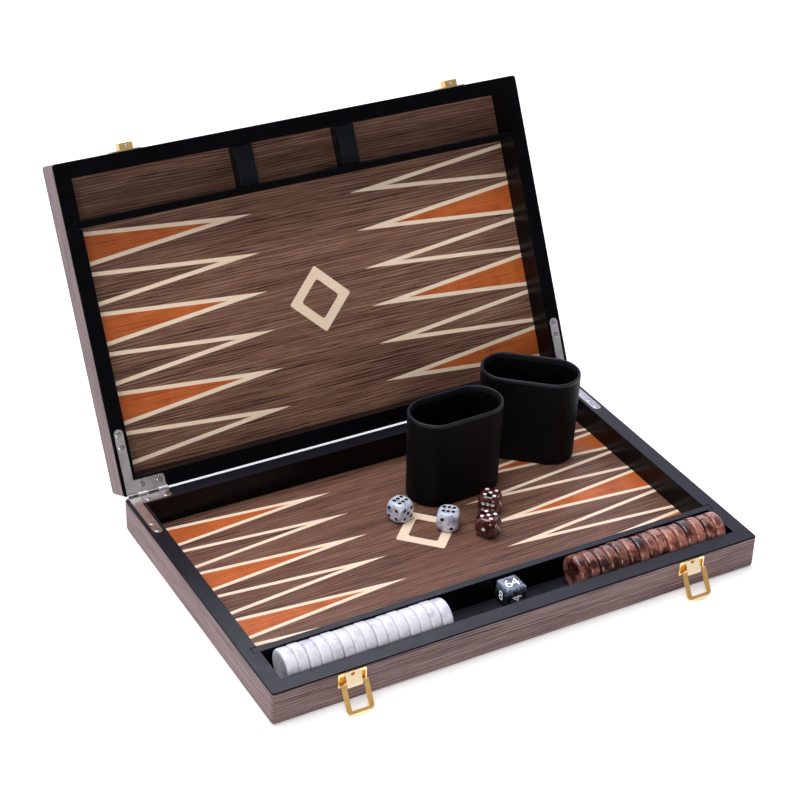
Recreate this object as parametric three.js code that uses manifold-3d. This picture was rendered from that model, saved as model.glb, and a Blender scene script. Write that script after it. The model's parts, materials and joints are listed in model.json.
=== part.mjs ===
// Backgammon set in a hinged wooden case, shown open.
// Millimetres, +Z up. Origin: centre of the base's underside.
// +X runs along the front, +Y towards the hinges, so the front faces -Y.
// The lid is drawn closed over the base and then turned open about the hinge axis.
import * as THREE from "three";
import { mergeVertices } from "three/addons/utils/BufferGeometryUtils.js";
import { RoundedBoxGeometry } from "three/addons/geometries/RoundedBoxGeometry.js";
import Module from "manifold-3d";

const manifold = await Module();
manifold.setup();

// ---------------------------------------------------------------- case dimensions
const CASE_W = 480; // outer width of each half
const CASE_D = 304; // outer depth of each half
const HALF_H = 33; // height of each half
const WALL = 15; // outer face to inner face
const SKIN = 1.0; // veneer thickness on the sides
const SKIN_FLOOR = 1.2; // veneer thickness under the board
const EDGE_R = 3.0; // rounding of the outer edges
const GAP = 0.3; // clearance between fitted pieces
const HAIRLINE = 0.05; // clearance under pieces that lie on a face
const SEAM = 0.6; // gap between the halves when closed
const OPEN_ANGLE = 116.6; // lid angle at the hinges' stop, degrees

const HALF_W = CASE_W / 2;
const HALF_D = CASE_D / 2;
const INNER_X = HALF_W - WALL;
const INNER_Y = HALF_D - WALL;
const FRONT = -HALF_D; // y of the front face
const AXIS_Y = HALF_D + 0.7; // hinge axis
const AXIS_Z = HALF_H + SEAM / 2;

const PANEL_TOP = 6.5; // playing surface above the underside
const TROUGH_TOP = 10.5; // storage trough floor above the underside

const OPEN_TOP = 60; // top of cutters that are open upwards
const SIDES = [
  ["left", -1],
  ["right", 1],
];

// ---------------------------------------------------------------- materials
const MATERIALS = {
  veneer: { color: 0x6b5450, roughness: 0.55 },
  board: { color: 0x5b463f, roughness: 0.5 },
  black: { color: 0x14161c, roughness: 0.3 },
  nickel: { color: 0xb5b0b2, roughness: 0.25, metalness: 1 },
  gold: { color: 0xe6bf62, roughness: 0.22, metalness: 1 },
  pearl: { color: 0xe6e4ee, roughness: 0.25 },
  brown: { color: 0x7a4a40, roughness: 0.2 },
  diePearl: { color: 0xb9bccb, roughness: 0.2 },
  dieBrown: { color: 0x5a2a22, roughness: 0.2 },
  cube: { color: 0x14161c, roughness: 0.2 },
  leather: { color: 0x0c0d10, roughness: 0.6 },
};

// ---------------------------------------------------------------- helpers
const radians = THREE.MathUtils.degToRad;

function toSolid(geometry) {
  const bare = geometry.clone();
  for (const key of Object.keys(bare.attributes)) {
    if (key !== "position") bare.deleteAttribute(key);
  }
  const merged = mergeVertices(bare, 1e-4);
  return new manifold.Manifold(
    new manifold.Mesh({
      numProp: 3,
      vertProperties: new Float32Array(merged.attributes.position.array),
      triVerts: new Uint32Array(merged.index.array),
    }),
  );
}

function toGeometry(solid) {
  const mesh = solid.getMesh();
  const positions = new Float32Array(mesh.vertProperties);
  const geometry = new THREE.BufferGeometry();
  geometry.setAttribute("position", new THREE.BufferAttribute(positions, 3));
  geometry.setIndex(new THREE.BufferAttribute(new Uint32Array(mesh.triVerts), 1));
  geometry.computeVertexNormals();
  return geometry;
}

const union = (solids) => solids.reduce((a, b) => a.add(b));
const minus = (solid, cutters) => cutters.reduce((a, b) => a.subtract(b), solid);

// the solid mirrored through the plane at `plane` on an axis (0 = x, 2 = z)
function mirrored(solid, axis, plane = 0) {
  const geometry = toGeometry(solid);
  const position = geometry.attributes.position;
  for (let i = 0; i < position.count; i++) {
    position.setComponent(i, axis, 2 * plane - position.getComponent(i, axis));
  }
  const index = geometry.index.array;
  for (let i = 0; i < index.length; i += 3) {
    [index[i + 1], index[i + 2]] = [index[i + 2], index[i + 1]];
  }
  geometry.computeVertexNormals();
  return geometry;
}
const mirrorX = (solid) => toSolid(mirrored(solid, 0));
const bothSides = (solid) => [solid, mirrorX(solid)];
// from the base to the closed lid, through the seam plane
const toLid = (solid) => mirrored(solid, 2, AXIS_Z);

function boxGeometry([x0, x1], [y0, y1], [z0, z1]) {
  const geometry = new THREE.BoxGeometry(x1 - x0, y1 - y0, z1 - z0);
  geometry.translate((x0 + x1) / 2, (y0 + y1) / 2, (z0 + z1) / 2);
  return geometry;
}
const box = (...ranges) => toSolid(boxGeometry(...ranges));

function cylinderX(radius, [x0, x1], y, z, sides = 20) {
  const geometry = new THREE.CylinderGeometry(radius, radius, x1 - x0, sides);
  geometry.rotateZ(Math.PI / 2);
  geometry.translate((x0 + x1) / 2, y, z);
  return geometry;
}

// rounded rectangle outline, counter-clockwise
function roundedRectangle(halfX, halfY, radius) {
  const steps = 4; // per corner
  const corners = [
    [1, 1, 0], // x sign, y sign, start angle
    [-1, 1, 90],
    [-1, -1, 180],
    [1, -1, 270],
  ];
  const points = [];
  for (const [signX, signY, start] of corners) {
    for (let i = 0; i <= steps; i++) {
      const angle = radians(start + (90 * i) / steps);
      points.push([
        signX * (halfX - radius) + radius * Math.cos(angle),
        signY * (halfY - radius) + radius * Math.sin(angle),
      ]);
    }
  }
  return points;
}

// solid through rings [points, z] of equal point count, bottom to top
function loft(rings) {
  const count = rings[0][0].length;
  const vertices = [];
  const index = [];
  for (const [points, z] of rings) {
    for (const [x, y] of points) vertices.push(x, y, z);
  }
  for (let k = 0; k < rings.length - 1; k++) {
    for (let i = 0; i < count; i++) {
      const a = k * count + i;
      const b = k * count + ((i + 1) % count);
      const c = a + count;
      const d = b + count;
      index.push(a, b, d, a, d, c);
    }
  }
  const top = (rings.length - 1) * count;
  for (let i = 1; i < count - 1; i++) index.push(0, i + 1, i);
  for (let i = 1; i < count - 1; i++) index.push(top, top + i, top + i + 1);
  const geometry = new THREE.BufferGeometry();
  geometry.setAttribute("position", new THREE.Float32BufferAttribute(vertices, 3));
  geometry.setIndex(index);
  return toSolid(geometry);
}

function extrude(shape, [z0, z1], { curveSegments = 6, matrix } = {}) {
  const geometry = new THREE.ExtrudeGeometry(shape, {
    depth: z1 - z0,
    bevelEnabled: false,
    curveSegments,
  });
  geometry.translate(0, 0, z0);
  if (matrix) geometry.applyMatrix4(matrix);
  return toSolid(geometry);
}

// stands a flat shape upright: its y becomes z, its thickness runs towards -Y
function upright(x, y) {
  return new THREE.Matrix4().set(1, 0, 0, x, 0, 0, -1, y, 0, 1, 0, 0, 0, 0, 0, 1);
}

// low raised screw head with a sunk flat underside, facing "up" or "front"
function screwHead({ radius, height, sides }, facing, [x, y, z]) {
  const sunk = 0.4;
  const profile = [
    [0, -sunk], // radius, height
    [radius, -sunk],
    [radius, 0],
    [radius * 0.7, height * 0.75],
    [0, height],
  ];
  const points = profile.map(([r, h]) => new THREE.Vector2(r, h));
  const geometry = new THREE.LatheGeometry(points, sides);
  geometry.rotateX(facing === "front" ? Math.PI : Math.PI / 2);
  geometry.translate(x, y, z);
  return toSolid(geometry);
}

// ---------------------------------------------------------------- scene
const set = new THREE.Group();
const lid = new THREE.Group(); // turned open about the hinge axis
set.add(lid);
lid.position.set(0, AXIS_Y, AXIS_Z);
lid.rotation.x = -radians(OPEN_ANGLE);
const lidClosed = new THREE.Group(); // closed-case coordinates inside the lid
lidClosed.position.set(0, -AXIS_Y, -AXIS_Z);
lid.add(lidClosed);

function put(parent, name, geometry, material) {
  const mesh = new THREE.Mesh(
    geometry,
    new THREE.MeshStandardMaterial(MATERIALS[material]),
  );
  mesh.name = name;
  parent.add(mesh);
  return mesh;
}

// ---------------------------------------------------------------- hinge and latch sizes
// L-shaped leaf on the +X side: one leg along the side wall, an arm along the back wall
const LEAF_T = 1.3;
const LEAF_W = 8.6; // width of the side leg
const LEAF_X = 236.6; // outer edge
const LEAF_Y0 = 90.4; // front end of the side leg
const LEAF_Y1 = 150.3; // back edge
const LEAF_ARM_X = 198.4; // free end of the arm
const LEAF_ARM_Y = 139; // front edge of the arm
const LEAF_ARM_R = 3.2; // rounding of the arm's front corner
const KNUCKLE_R = 2.0;
const KNUCKLES = 4; // along one barrel
const KNUCKLE_PLAY = 0.15; // at each end that meets another knuckle
const BORE_R = 1.1;
const PIN_R = 1.0;
const PIN_OVERHANG = 0.2; // at each end of the barrel
const BARREL_X0 = 197.2;
const BARREL_X1 = 236.4;
const LEAF_SCREW = { radius: 2.5, height: 0.55, sides: 12 };
const LEAF_SCREWS = [ // x, y
  [232.3, 95.6],
  [232.3, 107.3],
  [220.6, 143.8],
  [203.2, 143.6],
];

const LATCH_X = 168.5; // latches left and right of centre
// side windows of the latch plate: pans sunk into the case
const WINDOW_X = 9.6; // centre, from the latch's centre
const WINDOW_W = 4.8;
const WINDOW_D = 1.3; // depth behind the front face
const WINDOW_Z0 = 19.6;
const WINDOW_Z1 = 28.9;
const PAN_WALL = 0.5;

// leaf outline, grown by `grow` all round
function leafShape(grow) {
  const outerX = LEAF_X + grow;
  const innerX = LEAF_X - LEAF_W - grow;
  const frontY = LEAF_Y0 - grow;
  const backY = LEAF_Y1 + grow;
  const armX = LEAF_ARM_X - grow;
  const armY = LEAF_ARM_Y - grow;
  const endR = LEAF_W / 2 + grow;
  const armR = LEAF_ARM_R + grow;
  const shape = new THREE.Shape();
  shape.moveTo(outerX, backY);
  shape.lineTo(armX, backY);
  shape.lineTo(armX, armY + armR);
  shape.absarc(armX + armR, armY + armR, armR, Math.PI, 1.5 * Math.PI, false);
  shape.lineTo(innerX, armY);
  shape.lineTo(innerX, frontY + endR);
  shape.absarc(innerX + endR, frontY + endR, endR, Math.PI, 2 * Math.PI, false);
  shape.lineTo(outerX, backY);
  return shape;
}

// box over one window (side -1 or 1), grown sideways, up, down and inwards from y = frontY
function windowBox(latchX, side, grow, frontY) {
  const x = latchX + side * WINDOW_X;
  return box(
    [x - WINDOW_W / 2 - grow, x + WINDOW_W / 2 + grow],
    [frontY, FRONT + WINDOW_D + grow],
    [WINDOW_Z0 - grow, WINDOW_Z1 + grow],
  );
}

// ---------------------------------------------------------------- case halves
const LIP_H = 1.0; // full-width lip on top of the frame
const LIP_CHAMFER = 0.6;
const FRAME_TOP = HALF_H - 0.9; // frame below the lip, overlapping it
const SKIN_TOP = HALF_H - 1.2;
const SKIN_STEPS = 3; // facets of the rounded bottom edge

const RAIL_Y = [-98.6, -91.8]; // rail between trough and playing field
const RAIL_TOP = 32.8;
const RAIL_END = 5.6; // how far each rail end is let into the side wall

const DIVIDER_X = 53.2; // lid compartment dividers
const DIVIDER_W = 17.8;
const DIVIDER_H = 15;

const TROUGH_Y = [-INNER_Y + GAP, RAIL_Y[0] - GAP];

function barrelGroove() {
  return box(
    [BARREL_X0 - 0.5, BARREL_X1 + 0.5],
    [LEAF_Y1 - 0.9, HALF_D + 2],
    [AXIS_Z - KNUCKLE_R - 0.5, HALF_H + 3],
  );
}

function railNotch() {
  return box(
    [INNER_X - 1, INNER_X + RAIL_END + GAP],
    [RAIL_Y[0] - GAP, RAIL_Y[1] + GAP],
    [PANEL_TOP - 0.5, OPEN_TOP],
  );
}

// recesses in the base's front wall for the pans of both latch plates
function panRecesses() {
  const cutters = [];
  for (const latchX of [-LATCH_X, LATCH_X]) {
    for (const side of [-1, 1]) {
      cutters.push(windowBox(latchX, side, PAN_WALL + GAP, FRONT - 2));
    }
  }
  return cutters;
}

function frameSolid() {
  const rim = roundedRectangle(HALF_W, HALF_D, EDGE_R);
  const rimTop = roundedRectangle(
    HALF_W - LIP_CHAMFER,
    HALF_D - LIP_CHAMFER,
    EDGE_R - LIP_CHAMFER,
  );
  const lip = loft([
    [rim, HALF_H - LIP_H],
    [rim, HALF_H - LIP_CHAMFER],
    [rimTop, HALF_H],
  ]);
  const inset = SKIN + GAP;
  const outline = roundedRectangle(HALF_W - inset, HALF_D - inset, EDGE_R - 1);
  const body = loft([
    [outline, SKIN_FLOOR + GAP],
    [outline, FRAME_TOP],
  ]);
  const leafRecess = extrude(leafShape(GAP), [HALF_H - LEAF_T - 0.25, OPEN_TOP]);
  return minus(union([lip, body]), [
    box([-INNER_X, INNER_X], [-INNER_Y, INNER_Y], [-5, OPEN_TOP]),
    ...bothSides(leafRecess),
    ...bothSides(barrelGroove()),
    ...bothSides(railNotch()),
  ]);
}

// open-topped veneer tray with a rounded bottom edge
function skinSolid() {
  const rings = [];
  for (let k = 0; k <= SKIN_STEPS; k++) {
    const angle = (Math.PI / 2) * (k / SKIN_STEPS);
    const inset = EDGE_R * (1 - Math.sin(angle));
    const radius = Math.max(EDGE_R - inset * 0.5, 1);
    rings.push([
      roundedRectangle(HALF_W - inset, HALF_D - inset, radius),
      EDGE_R * (1 - Math.cos(angle)),
    ]);
  }
  rings.push([roundedRectangle(HALF_W, HALF_D, EDGE_R), SKIN_TOP]);
  const inside = roundedRectangle(HALF_W - SKIN, HALF_D - SKIN, EDGE_R - 0.8);
  const hollow = loft([
    [inside, SKIN_FLOOR],
    [inside, OPEN_TOP],
  ]);
  return minus(loft(rings), [hollow, ...bothSides(barrelGroove())]);
}

function boardSolid() {
  const x = INNER_X - 0.2;
  const y = INNER_Y - 0.2;
  return box([-x, x], [-y, y], [SKIN_FLOOR + GAP, PANEL_TOP]);
}

function railSolid() {
  const x = INNER_X + RAIL_END;
  return box([-x, x], RAIL_Y, [PANEL_TOP + HAIRLINE, RAIL_TOP]);
}

function dividerSolid(x) {
  return box(
    [x - DIVIDER_W / 2, x + DIVIDER_W / 2],
    TROUGH_Y,
    [PANEL_TOP + HAIRLINE, PANEL_TOP + DIVIDER_H],
  );
}

function troughFloor() {
  const x = INNER_X - GAP;
  return boxGeometry([-x, x], TROUGH_Y, [PANEL_TOP + HAIRLINE, TROUGH_TOP]);
}

const frame = frameSolid();
const skin = skinSolid();
const board = boardSolid();
const rail = railSolid();

put(set, "base_frame", toGeometry(minus(frame, panRecesses())), "black");
put(set, "base_veneer", toGeometry(minus(skin, panRecesses())), "veneer");
put(set, "base_board", toGeometry(board), "board");
put(set, "base_rail", toGeometry(rail), "black");
put(set, "trough_floor", troughFloor(), "black");
put(lidClosed, "lid_frame", toLid(frame), "black");
put(lidClosed, "lid_veneer", toLid(skin), "veneer");
put(lidClosed, "lid_board", toLid(board), "board");
put(lidClosed, "lid_rail", toLid(rail), "black");
for (const [side, sign] of SIDES) {
  put(lidClosed, `lid_divider_${side}`, toLid(dividerSolid(sign * DIVIDER_X)), "black");
}

// ---------------------------------------------------------------- hinges
// leaf on the +X side; ownKnuckles are counted from the outer end of the barrel
function leafSolid(ownKnuckles) {
  const step = (BARREL_X1 - BARREL_X0) / KNUCKLES;
  const leafZ = [HALF_H - LEAF_T, HALF_H];
  const parts = [extrude(leafShape(0), leafZ)];
  for (const k of ownKnuckles) {
    const x = [
      BARREL_X1 - (k + 1) * step + (k < KNUCKLES - 1 ? KNUCKLE_PLAY : 0),
      BARREL_X1 - k * step - (k ? KNUCKLE_PLAY : 0),
    ];
    const knuckle = toSolid(cylinderX(KNUCKLE_R, x, AXIS_Y, AXIS_Z));
    parts.push(knuckle.add(box(x, [LEAF_Y1 - 0.5, AXIS_Y - 1.2], leafZ)));
  }
  const bore = cylinderX(BORE_R, [BARREL_X0 - 5, BARREL_X1 + 5], AXIS_Y, AXIS_Z);
  const heads = LEAF_SCREWS.map(([x, y]) => screwHead(LEAF_SCREW, "up", [x, y, HALF_H]));
  const leaf = union([union(parts).subtract(toSolid(bore)), ...heads]);

  // the heads of both leaves face into the seam, so they are cut low to clear each other;
  // the barrel keeps its full height
  const reach = 300; // beyond the leaf in x and y
  const lowered = box([0, reach], [0, reach], [0, HALF_H + 0.25]);
  const barrel = box([0, reach], [AXIS_Y - 2.2, reach], [0, OPEN_TOP]);
  return leaf.intersect(lowered.add(barrel));
}

const baseLeaf = leafSolid([0, 2]);
const lidLeaf = leafSolid([1, 3]);
for (const [side, sign] of SIDES) {
  const onSide = (leaf) => (sign > 0 ? leaf : mirrorX(leaf));
  put(set, `hinge_${side}_base_leaf`, toGeometry(onSide(baseLeaf)), "nickel");
  put(lidClosed, `hinge_${side}_lid_leaf`, toLid(onSide(lidLeaf)), "nickel");
  const [x0, x1] = sign > 0 ? [BARREL_X0, BARREL_X1] : [-BARREL_X1, -BARREL_X0];
  const pin = cylinderX(PIN_R, [x0 - PIN_OVERHANG, x1 + PIN_OVERHANG], AXIS_Y, AXIS_Z);
  put(set, `hinge_${side}_pin`, pin, "nickel");
}

// ---------------------------------------------------------------- latch plates
const PLATE_Z0 = 17.9;
const PLATE_Z1 = 31.5;
const PLATE_HALF_W = 13.1;
const PLATE_T = 1.0; // front face, ahead of the case
const PLATE_CORNER_R = 1.2; // top corners
const PLATE_SCREW = { radius: 1.9, height: 0.7, sides: 10 };
const PLATE_SCREW_Z = 25.0;
const TONGUE_HALF_W = 7.1;
// the tongue leans out from the plate's top edge, passes over the bail's rod
// and turns back under it; columns: y ahead of the case front, z
const TONGUE_PROFILE = [
  [0.9, PLATE_Z1], [1.15, PLATE_Z1], [5.9, 22.0], [6.1, 20.8], [6.0, 19.3],
  [5.6, 18.9], [3.0, 18.9], [3.0, 19.5], [5.3, 19.6], [5.5, 20.8],
  [5.35, 21.9], [2.0, 28.6], [0.9, 28.9],
];
// oval dimple near the top of the tongue; bottom is measured ahead of the case front
const OVAL = { radiusX: 2.2, radiusZ: 1.35, length: 3.6, bottom: 0.35, z: 29.6, sides: 16 };

function tongueSolid(latchX) {
  const points = TONGUE_PROFILE.map(([y, z]) => new THREE.Vector2(FRONT - y, z));
  // (x, y, z) -> (z + latchX, x, y)
  const matrix = new THREE.Matrix4().set(0, 0, 1, latchX, 1, 0, 0, 0, 0, 1, 0, 0, 0, 0, 0, 1);
  return extrude(new THREE.Shape(points), [-TONGUE_HALF_W, TONGUE_HALF_W], { matrix });
}

function plateSheet(latchX) {
  const r = PLATE_CORNER_R;
  const shape = new THREE.Shape();
  shape.moveTo(-PLATE_HALF_W, PLATE_Z0);
  shape.lineTo(PLATE_HALF_W, PLATE_Z0);
  shape.lineTo(PLATE_HALF_W, PLATE_Z1 - r);
  shape.absarc(PLATE_HALF_W - r, PLATE_Z1 - r, r, 0, Math.PI / 2, false);
  shape.absarc(-PLATE_HALF_W + r, PLATE_Z1 - r, r, Math.PI / 2, Math.PI, false);
  return extrude(shape, [HAIRLINE, PLATE_T], {
    curveSegments: 3,
    matrix: upright(latchX, FRONT),
  });
}

function ovalCutter(latchX) {
  const oval = new THREE.CylinderGeometry(1, 1, OVAL.length, OVAL.sides);
  oval.scale(OVAL.radiusX, 1, OVAL.radiusZ);
  oval.translate(latchX, FRONT - OVAL.bottom - OVAL.length / 2, OVAL.z);
  return toSolid(oval);
}

function latchPlate(latchX) {
  const pans = [-1, 1].map((side) => windowBox(latchX, side, PAN_WALL, FRONT - 0.6));
  const windows = [-1, 1].map((side) => windowBox(latchX, side, 0, FRONT - PLATE_T));
  const heads = [-1, 1].map((side) =>
    screwHead(PLATE_SCREW, "front", [
      latchX + side * WINDOW_X,
      FRONT + WINDOW_D,
      PLATE_SCREW_Z,
    ]),
  );
  const solid = union([plateSheet(latchX), ...pans, tongueSolid(latchX)]);
  return union([minus(solid, [...windows, ovalCutter(latchX)]), ...heads]);
}

// ---------------------------------------------------------------- latch bails
const BAIL_Y = FRONT - 4.4; // rod
const BAIL_Z = 22.0;
const BAIL_L = 24.0; // rod to lower edge
const BAIL_SET = 0.7; // the arms stand this far in front of the rod
const BAIL_LEAN = 30; // outwards from vertical, degrees
const BAIL_HALF_T = 0.6;
const BAIL_OUTER_X = 12.45;
const BAIL_INNER_X = 7.95;
const BAIL_CORNER_R = 3.0;
const BAIL_TOP = 0.68; // arm ends above the rod's axis
const BAIL_BAR = 2.2; // height of the lower bar
const ROD_R = 0.6;
const TAB_L = 3.8; // finger tab
const TAB_HALF_T = 0.25;
const TAB_TILT = 45; // outwards from the bail's plane, degrees

function bailOutline() {
  const x = BAIL_OUTER_X;
  const r = BAIL_CORNER_R;
  const barTop = -(BAIL_L - BAIL_BAR);
  const shape = new THREE.Shape();
  shape.moveTo(-x, BAIL_TOP);
  shape.lineTo(-x, -(BAIL_L - r));
  shape.absarc(-x + r, -(BAIL_L - r), r, Math.PI, 1.5 * Math.PI, false);
  shape.lineTo(x - r, -BAIL_L);
  shape.absarc(x - r, -(BAIL_L - r), r, 1.5 * Math.PI, 2 * Math.PI, false);
  shape.lineTo(x, BAIL_TOP);
  shape.lineTo(BAIL_INNER_X, BAIL_TOP);
  shape.lineTo(BAIL_INNER_X, barTop);
  shape.lineTo(-BAIL_INNER_X, barTop);
  shape.lineTo(-BAIL_INNER_X, BAIL_TOP);
  return shape;
}

// lens-shaped finger tab below the bar, turned outwards
function tabSolid() {
  const endY = 0.15;
  const shape = new THREE.Shape();
  shape.moveTo(-10.9, -0.8);
  shape.lineTo(-10.6, endY);
  shape.quadraticCurveTo(0, 2 * TAB_L - endY, 10.6, endY); // peaks at TAB_L
  shape.lineTo(10.9, -0.8);
  const sin = Math.sin(radians(TAB_TILT));
  const cos = Math.cos(radians(TAB_TILT));
  const matrix = new THREE.Matrix4().set(
    1, 0, 0, 0,
    0, -sin, cos, -BAIL_SET,
    0, -cos, -sin, -BAIL_L,
    0, 0, 0, 1,
  );
  return extrude(shape, [-TAB_HALF_T, TAB_HALF_T], { curveSegments: 10, matrix });
}

// drawn hanging straight down from a pivot at the origin, front face towards -Y
function bailSolid() {
  const loop = extrude(bailOutline(), [-BAIL_HALF_T, BAIL_HALF_T], {
    curveSegments: 4,
    matrix: upright(0, -BAIL_SET),
  });
  // blocks that join the arm ends to the rod
  const armEnds = [
    [-BAIL_OUTER_X, -BAIL_INNER_X],
    [BAIL_INNER_X, BAIL_OUTER_X],
  ].map((x) => box(x, [-BAIL_SET - BAIL_HALF_T, ROD_R], [-0.62, BAIL_TOP]));
  const rod = toSolid(cylinderX(ROD_R, [-10, 10], 0, 0, 12));
  return union([loop, tabSolid(), ...armEnds, rod]);
}

// ---------------------------------------------------------------- latch catches
const CATCH_Z = AXIS_Z + 1.0; // lower edge
const CATCH_HALF_W = 14;
const CATCH_H = 12;
const CATCH_T = 1.0; // front face, ahead of the case
const CATCH_BLOCK = { halfW: 6.4, ahead: 7.2, bottom: 0.3, top: 8.8 }; // from CATCH_Z
// round dimple centred on the block's underside
const CATCH_DIMPLE = { radius: 1.9, length: 1.2, ahead: 4.3, sides: 14 };
const CATCH_SCREW = { radius: 1.9, height: 0.28, sides: 10 };
const CATCH_SCREW_X = 10.3;
const CATCH_SCREW_Z = CATCH_Z + 7.5;

// on the lid's front face, drawn for the closed lid
function catchSolid(latchX) {
  const plate = box(
    [latchX - CATCH_HALF_W, latchX + CATCH_HALF_W],
    [FRONT - CATCH_T, FRONT - HAIRLINE],
    [CATCH_Z, CATCH_Z + CATCH_H],
  );
  const block = box(
    [latchX - CATCH_BLOCK.halfW, latchX + CATCH_BLOCK.halfW],
    [FRONT - CATCH_BLOCK.ahead, FRONT - 0.9],
    [CATCH_Z + CATCH_BLOCK.bottom, CATCH_Z + CATCH_BLOCK.top],
  );
  const { radius, length, ahead, sides } = CATCH_DIMPLE;
  const dimple = new THREE.CylinderGeometry(radius, radius, length, sides);
  dimple.rotateX(Math.PI / 2);
  dimple.translate(latchX, FRONT - ahead, CATCH_Z + CATCH_BLOCK.bottom);
  const heads = [-CATCH_SCREW_X, CATCH_SCREW_X].map((x) =>
    screwHead(CATCH_SCREW, "front", [latchX + x, FRONT - CATCH_T, CATCH_SCREW_Z]),
  );
  return union([plate.add(block).subtract(toSolid(dimple)), ...heads]);
}

const bailGeometry = toGeometry(bailSolid());
for (const [side, sign] of SIDES) {
  const x = sign * LATCH_X;
  put(set, `latch_${side}_plate`, toGeometry(latchPlate(x)), "gold");
  const bail = put(set, `latch_${side}_bail`, bailGeometry, "gold");
  bail.position.set(x, BAIL_Y, BAIL_Z);
  bail.rotation.x = -radians(BAIL_LEAN);
  put(lidClosed, `latch_${side}_catch`, toGeometry(catchSolid(x)), "gold");
}

// ---------------------------------------------------------------- checkers on edge in the trough
const CHECKER_R = 16.5;
const CHECKER_T = 9.98;
const CHECKER_EDGE = 1.6; // chamfer
const CHECKER_COUNT = 15;
const CHECKER_PITCH = 10.28;
const CHECKER_Y = -119.2;
const CHECKER_Z = TROUGH_TOP + 0.15 + CHECKER_R;
// x0: first checker; sway, step, phase: unevenness of the row in y, sway * sin(i * step + phase)
const CHECKER_ROWS = [
  { color: "pearl", x0: -216.8, sway: 0.5, step: 2.1, phase: 0 },
  { color: "brown", x0: 65.3, sway: 0.8, step: 1.7, phase: 0.6 },
];

// axis along +X, one face at x = 0
function checkerGeometry() {
  const profile = [
    [0, 0], // radius, height
    [CHECKER_R - CHECKER_EDGE, 0],
    [CHECKER_R, CHECKER_EDGE],
    [CHECKER_R, CHECKER_T - CHECKER_EDGE],
    [CHECKER_R - CHECKER_EDGE, CHECKER_T],
    [0, CHECKER_T],
  ];
  const points = profile.map(([r, h]) => new THREE.Vector2(r, h));
  const geometry = new THREE.LatheGeometry(points, 24);
  geometry.rotateZ(-Math.PI / 2);
  return toGeometry(toSolid(geometry));
}

const checker = checkerGeometry();
for (let i = 0; i < CHECKER_COUNT; i++) {
  const number = String(i + 1).padStart(2, "0");
  for (const { color, x0, sway, step, phase } of CHECKER_ROWS) {
    const y = CHECKER_Y + sway * Math.sin(i * step + phase);
    const mesh = put(set, `checker_${color}_${number}`, checker, color);
    mesh.position.set(x0 + i * CHECKER_PITCH, y, CHECKER_Z);
  }
}

// ---------------------------------------------------------------- dice, doubling cube
const DIE = 20;
const DIE_R = 3.2;
const DIE_BALL = 13.3; // radius of the ball that the corners are turned down to
const CUBE = 20.2;
const CUBE_R = 2.2;
const CUBE_X = 9.1;
const CUBE_Y = -109.3;
const CUBE_LIFT = 0.1; // dice and doubling cube above the surface below
const DICE = [ // name, x, y, yaw in degrees, material
  ["die_pearl_1", -13.0, 47.9, 18.4, "diePearl"],
  ["die_pearl_2", 19.4, 15.4, -39.0, "diePearl"],
  ["die_brown_1", 67.4, 21.4, -45.0, "dieBrown"],
  ["die_brown_2", 47.1, -8.5, -57.0, "dieBrown"],
];

const roundedCube = (size, radius) =>
  toSolid(new RoundedBoxGeometry(size, size, size, 2, radius));

function dieGeometry() {
  const ball = toSolid(new THREE.SphereGeometry(DIE_BALL, 28, 20));
  return toGeometry(roundedCube(DIE, DIE_R).intersect(ball));
}

const dieShared = dieGeometry();
for (const [name, x, y, yaw, material] of DICE) {
  const die = put(set, name, dieShared, material);
  die.position.set(x, y, PANEL_TOP + CUBE_LIFT + DIE / 2);
  die.rotation.z = radians(yaw);
}
const cube = put(set, "doubling_cube", toGeometry(roundedCube(CUBE, CUBE_R)), "cube");
cube.position.set(CUBE_X, CUBE_Y, TROUGH_TOP + CUBE_LIFT + CUBE / 2);

// ---------------------------------------------------------------- dice cups
const CUP_H = 90;
const CUP_STRAIGHT = 22; // half length of the straight sides
const CUP_R = 26; // end radius at the rim
const CUP_TAPER = 0.97; // foot size over rim size
const CUP_WALL = 2.6;
const CUP_FLOOR = 4;
const CUP_LIFT = 0.3; // above the board
const CUPS = [ // name, x, y, yaw in degrees
  ["cup_1", 55.9, 71.4, 1.9],
  ["cup_2", 152.8, 96.5, -40.8],
];

// two half circles joined by straight sides, counter-clockwise
function stadium(straight, radius) {
  const steps = 9; // per half circle
  const points = [];
  for (const sign of [1, -1]) {
    for (let i = 0; i <= steps; i++) {
      const angle = (-sign * Math.PI) / 2 + (Math.PI * i) / steps;
      points.push([sign * straight + radius * Math.cos(angle), radius * Math.sin(angle)]);
    }
  }
  return points;
}

function cupSolid() {
  const footStraight = CUP_STRAIGHT * CUP_TAPER;
  const footR = CUP_R * CUP_TAPER;
  const outer = loft([
    [stadium(footStraight, footR - 1.2), 0],
    [stadium(footStraight, footR), 1.5],
    [stadium(CUP_STRAIGHT, CUP_R), CUP_H - 1],
    [stadium(CUP_STRAIGHT, CUP_R - 0.7), CUP_H],
  ]);
  const inner = loft([
    [stadium(footStraight, footR - CUP_WALL), CUP_FLOOR],
    [stadium(CUP_STRAIGHT, CUP_R - CUP_WALL), CUP_H + 2],
  ]);
  return outer.subtract(inner);
}

const cupGeometry = toGeometry(cupSolid());
for (const [name, x, y, yaw] of CUPS) {
  const cup = put(set, name, cupGeometry, "leather");
  cup.position.set(x, y, PANEL_TOP + CUP_LIFT);
  cup.rotation.z = radians(yaw);
}

export default set;
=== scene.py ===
# A folding backgammon case, lying open, with checkers, dice, doubling cube and two cups.
# X runs left to right and -Y is the front. The base lies just above the floor. The lid is
# modelled in its closed place over the base and turned back about the hinge axis (along X).
# Shapes are in millimetres; materials, lights and camera are in metres.
import bpy
import bmesh
import json
import math
import random
from mathutils import Matrix, Vector


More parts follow.
